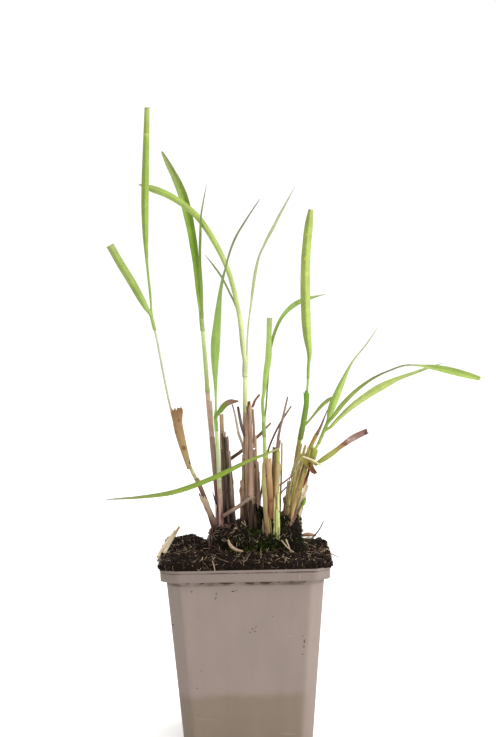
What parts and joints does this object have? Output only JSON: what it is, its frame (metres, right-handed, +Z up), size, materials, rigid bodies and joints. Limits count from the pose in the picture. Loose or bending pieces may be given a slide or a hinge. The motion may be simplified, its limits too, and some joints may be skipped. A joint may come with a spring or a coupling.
{
  "type": "potted ornamental grass clump",
  "caption": "Sparse clump of ornamental grass with cut and arching green blades, dead stubs and dry husks, growing from dark compost in a square taupe plastic nursery pot.",
  "frame": {"origin": "centre of the underside of the pot, on the surface it stands on", "axes": "+Z up through the pot and the clump; -Y is the front, where the low arching leaf hangs; +X to the right of the front, towards the long folded blades"},
  "size_m": [0.1998, 0.09, 0.3406],
  "materials": {
    "pot_plastic": "satin taupe moulded plastic, scuffed and dusty",
    "peat_compost": "dark crumbly peat with fibres",
    "root_ball": "dark matted roots with peat and moss",
    "fresh_leaf": "satin green blade with fine parallel veins",
    "deep_green_leaf": "satin deep green blade",
    "pale_leaf": "thin yellow-green blade",
    "green_culm": "smooth pale green stem",
    "straw": "dry, faintly ribbed straw",
    "olive_culm": "smooth olive stem",
    "dark_stalk": "dark rotted stalk",
    "weathered_stalk": "weathered grey-purple stalk",
    "pale_straw": "dry cream straw",
    "brown_dead_leaf": "dry brown papery leaf",
    "pinkish_sheath": "pink-brown papery sheath"
  },
  "bodies": {
    "root": {"pot": "pot_plastic", "compost": "peat_compost", "root_ball": "root_ball", "blade_a_cut": "fresh_leaf", "blade_a_tall": "fresh_leaf", "blade_b_long": "deep_green_leaf", "blade_b_thin": "deep_green_leaf", "blade_c_long": "fresh_leaf", "blade_c_short": "deep_green_leaf", "blade_d_arching": "fresh_leaf", "blade_d_right": "pale_leaf", "blade_d_thin": "deep_green_leaf", "blade_e_arching": "deep_green_leaf", "blade_e_cut": "fresh_leaf", "blade_f_broad": "fresh_leaf", "blade_f_side": "fresh_leaf", "blade_g_brown_tip": "deep_green_leaf", "blade_g_drooping": "pale_leaf", "blade_g_folded": "fresh_leaf", "blade_g_upright": "fresh_leaf", "blade_j_low": "deep_green_leaf", "culm_a": "green_culm", "culm_b": "green_culm", "culm_c": "green_culm", "culm_d": "green_culm", "culm_e": "straw", "culm_f": "olive_culm", "culm_g": "olive_culm", "culm_h_olive": "olive_culm", "dead_h_fine": "dark_stalk", "dead_h_tall": "weathered_stalk", "husk_a": "straw", "husk_a_low": "pale_straw", "husk_e": "straw", "husk_f": "olive_culm", "husk_g": "olive_culm", "leaf_d_bent": "brown_dead_leaf", "leaf_d_grey": "weathered_stalk", "leaf_d_pale": "pale_straw", "leaf_d_red": "pinkish_sheath", "leaf_d_strip": "straw", "leaf_g_brown": "brown_dead_leaf", "leaf_g_withered": "olive_culm", "straw_back": "brown_dead_leaf", "straw_front": "straw", "straw_soil": "pale_straw", "stub_d_left": "straw", "stub_d_mid": "brown_dead_leaf", "stub_d_right": "straw", "stub_g_olive": "olive_culm", "stub_g_pale": "pale_straw", "stub_g_pink": "pinkish_sheath", "stub_h_brown": "brown_dead_leaf", "stub_h_thin": "pale_straw", "stub_l_dark": "dark_stalk", "stub_l_purple": "weathered_stalk", "stub_l_tan": "straw"}
  },
  "joints": []
}
